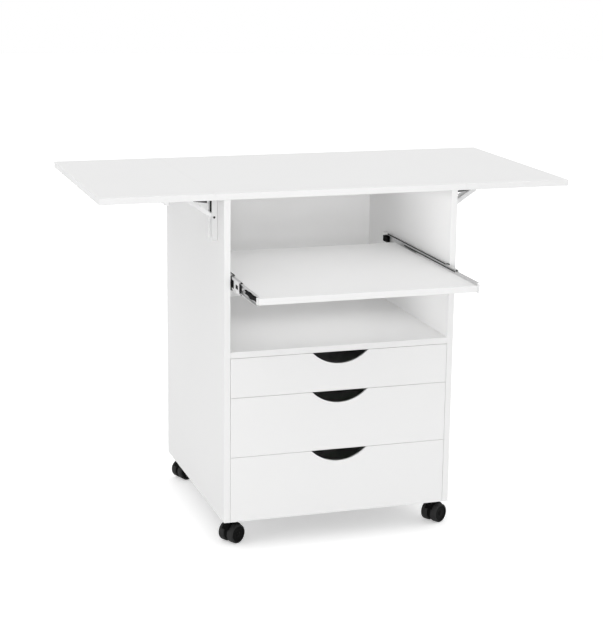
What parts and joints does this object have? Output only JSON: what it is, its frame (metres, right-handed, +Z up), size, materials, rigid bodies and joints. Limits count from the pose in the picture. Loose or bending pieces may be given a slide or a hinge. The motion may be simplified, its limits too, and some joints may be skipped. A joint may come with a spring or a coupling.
{
  "type": "sewing table",
  "caption": "White rolling sewing cabinet with a drop-leaf top on folding brackets, a pull-out shelf on ball-bearing slides, an open bay, drawers with half-moon finger cuts, and casters.",
  "frame": {"origin": "on the floor, under the middle of the opened top", "axes": "+Z up, +X along the long side of the top, the open front faces -Y"},
  "size_m": [1.2192, 0.8136, 0.9144],
  "materials": {
    "white_laminate": "satin white laminate on board",
    "back_board": "matt white faced hardboard",
    "drawer_board": "satin white foil on board",
    "bracket_white": "white powder coat",
    "dark_steel": "dark phosphated steel",
    "zinc_steel": "bright zinc plate",
    "black_plastic": "moulded black nylon",
    "caster_tread": "black moulded wheel",
    "dowel_beech": "plain beech"
  },
  "bodies": {
    "cabinet": {"left_side_panel": "white_laminate", "right_side_panel": "white_laminate", "back_panel": "back_board", "bottom_panel": "white_laminate", "fixed_shelf": "white_laminate", "centre_top": "white_laminate", "panel_dowels": "dowel_beech", "cam_fittings": "zinc_steel", "hinge_fixed_plates": "zinc_steel", "hinge_pins": "zinc_steel", "bracket_channels": "bracket_white", "bracket_rivets": "dark_steel", "cabinet_screws": "zinc_steel", "left_slide_cabinet_member": "zinc_steel", "right_slide_cabinet_member": "zinc_steel", "slide_stops": "black_plastic", "drawer_wall_runners": "zinc_steel", "caster_plates": "zinc_steel"},
    "shelf": {"pull_out_shelf": "white_laminate", "left_slide_shelf_member": "zinc_steel", "right_slide_shelf_member": "zinc_steel", "shelf_screws": "zinc_steel"},
    "slide_middles": {"left_slide_middle_member": "zinc_steel", "right_slide_middle_member": "zinc_steel", "slide_inserts": "black_plastic"},
    "left_drop_leaf": {"left_leaf": "white_laminate", "left_hinge_plates": "zinc_steel", "left_bracket_arms": "dark_steel", "left_leaf_screws": "zinc_steel"},
    "left_struts": {"left_bracket_struts": "bracket_white"},
    "left_lever": {"left_release_lever": "black_plastic"},
    "right_drop_leaf": {"right_leaf": "white_laminate", "right_hinge_plates": "zinc_steel", "right_bracket_arms": "dark_steel", "right_leaf_screws": "zinc_steel"},
    "right_struts": {"right_bracket_struts": "bracket_white"},
    "right_lever": {"right_release_lever": "black_plastic"},
    "top_drawer": {"top_drawer_front": "white_laminate", "top_drawer_sides": "drawer_board", "top_drawer_back": "drawer_board", "top_drawer_bottom": "drawer_board", "top_drawer_runners": "zinc_steel"},
    "middle_drawer": {"middle_drawer_front": "white_laminate", "middle_drawer_sides": "drawer_board", "middle_drawer_back": "drawer_board", "middle_drawer_bottom": "drawer_board", "middle_drawer_runners": "zinc_steel"},
    "bottom_drawer": {"bottom_drawer_front": "white_laminate", "bottom_drawer_sides": "drawer_board", "bottom_drawer_back": "drawer_board", "bottom_drawer_bottom": "drawer_board", "bottom_drawer_runners": "zinc_steel"},
    "front_left_swivel": {"front_left_caster_housing": "black_plastic"},
    "front_left_wheel_pair": {"front_left_caster_wheels": "caster_tread"},
    "front_right_swivel": {"front_right_caster_housing": "black_plastic"},
    "front_right_wheel_pair": {"front_right_caster_wheels": "caster_tread"},
    "rear_left_swivel": {"rear_left_caster_housing": "black_plastic"},
    "rear_left_wheel_pair": {"rear_left_caster_wheels": "caster_tread"},
    "rear_right_swivel": {"rear_right_caster_housing": "black_plastic"},
    "rear_right_wheel_pair": {"rear_right_caster_wheels": "caster_tread"}
  },
  "joints": [
    {"name": "right_leaf_fold", "type": "hinge", "parent": "cabinet", "child": "right_drop_leaf", "pos_m": [0.326, 0, 0.8952], "axis": [0, 1, 0], "range_deg": [0, 90]},
    {"name": "right_strut_fold", "type": "hinge", "parent": "cabinet", "child": "right_struts", "pos_m": [0.3134, 0, 0.8464], "axis": [0, 1, 0], "range_deg": [-1, 120.5]},
    {"name": "left_leaf_fold", "type": "hinge", "parent": "cabinet", "child": "left_drop_leaf", "pos_m": [-0.326, 0, 0.8952], "axis": [0, -1, 0], "range_deg": [0, 90]},
    {"name": "left_strut_fold", "type": "hinge", "parent": "cabinet", "child": "left_struts", "pos_m": [-0.3134, 0, 0.8464], "axis": [0, -1, 0], "range_deg": [-1, 120.5]},
    {"name": "shelf_slide", "type": "slide", "parent": "cabinet", "child": "shelf", "axis": [0, -1, 0], "range_m": [-0.204, 0.18]},
    {"name": "slide_middle_travel", "type": "slide", "parent": "cabinet", "child": "slide_middles", "axis": [0, -1, 0], "range_m": [-0.103, 0.091]},
    {"name": "right_lever_press", "type": "hinge", "parent": "shelf", "child": "right_lever", "pos_m": [0.2785, -0.4053, 0.693], "axis": [1, 0, 0], "range_deg": [0, 3], "stiffness_Nm_per_rad": 0.5, "springref_deg": -1.72},
    {"name": "left_lever_press", "type": "hinge", "parent": "shelf", "child": "left_lever", "pos_m": [-0.2785, -0.4053, 0.693], "axis": [1, 0, 0], "range_deg": [0, 3], "stiffness_Nm_per_rad": 0.5, "springref_deg": -1.72},
    {"name": "top_drawer_slide", "type": "slide", "parent": "cabinet", "child": "top_drawer", "axis": [0, -1, 0], "range_m": [0, 0.35]},
    {"name": "middle_drawer_slide", "type": "slide", "parent": "cabinet", "child": "middle_drawer", "axis": [0, -1, 0], "range_m": [0, 0.35]},
    {"name": "bottom_drawer_slide", "type": "slide", "parent": "cabinet", "child": "bottom_drawer", "axis": [0, -1, 0], "range_m": [0, 0.35]},
    {"name": "front_left_swivel_turn", "type": "hinge", "parent": "cabinet", "child": "front_left_swivel", "pos_m": [-0.279, -0.2498, 0.06], "axis": [0, 0, 1], "continuous": true},
    {"name": "front_left_wheel_roll", "type": "hinge", "parent": "front_left_swivel", "child": "front_left_wheel_pair", "pos_m": [-0.26688, -0.2428, 0.025], "axis": [0.5, -0.866, 0], "continuous": true},
    {"name": "front_right_swivel_turn", "type": "hinge", "parent": "cabinet", "child": "front_right_swivel", "pos_m": [0.279, -0.2498, 0.06], "axis": [0, 0, 1], "continuous": true},
    {"name": "front_right_wheel_roll", "type": "hinge", "parent": "front_right_swivel", "child": "front_right_wheel_pair", "pos_m": [0.29112, -0.2428, 0.025], "axis": [0.5, -0.866, 0], "continuous": true},
    {"name": "rear_left_swivel_turn", "type": "hinge", "parent": "cabinet", "child": "rear_left_swivel", "pos_m": [-0.279, 0.2688, 0.06], "axis": [0, 0, 1], "continuous": true},
    {"name": "rear_left_wheel_roll", "type": "hinge", "parent": "rear_left_swivel", "child": "rear_left_wheel_pair", "pos_m": [-0.26584, 0.27359, 0.025], "axis": [0.342, -0.9397, 0], "continuous": true},
    {"name": "rear_right_swivel_turn", "type": "hinge", "parent": "cabinet", "child": "rear_right_swivel", "pos_m": [0.279, 0.2688, 0.06], "axis": [0, 0, 1], "continuous": true},
    {"name": "rear_right_wheel_roll", "type": "hinge", "parent": "rear_right_swivel", "child": "rear_right_wheel_pair", "pos_m": [0.29216, 0.27359, 0.025], "axis": [0.342, -0.9397, 0], "continuous": true}
  ],
  "couplings": [
    {"joint": "right_strut_fold", "follows": "right_leaf_fold", "ratio": 1.3272},
    {"joint": "left_strut_fold", "follows": "left_leaf_fold", "ratio": 1.3272},
    {"joint": "slide_middle_travel", "follows": "shelf_slide", "ratio": 0.5}
  ]
}
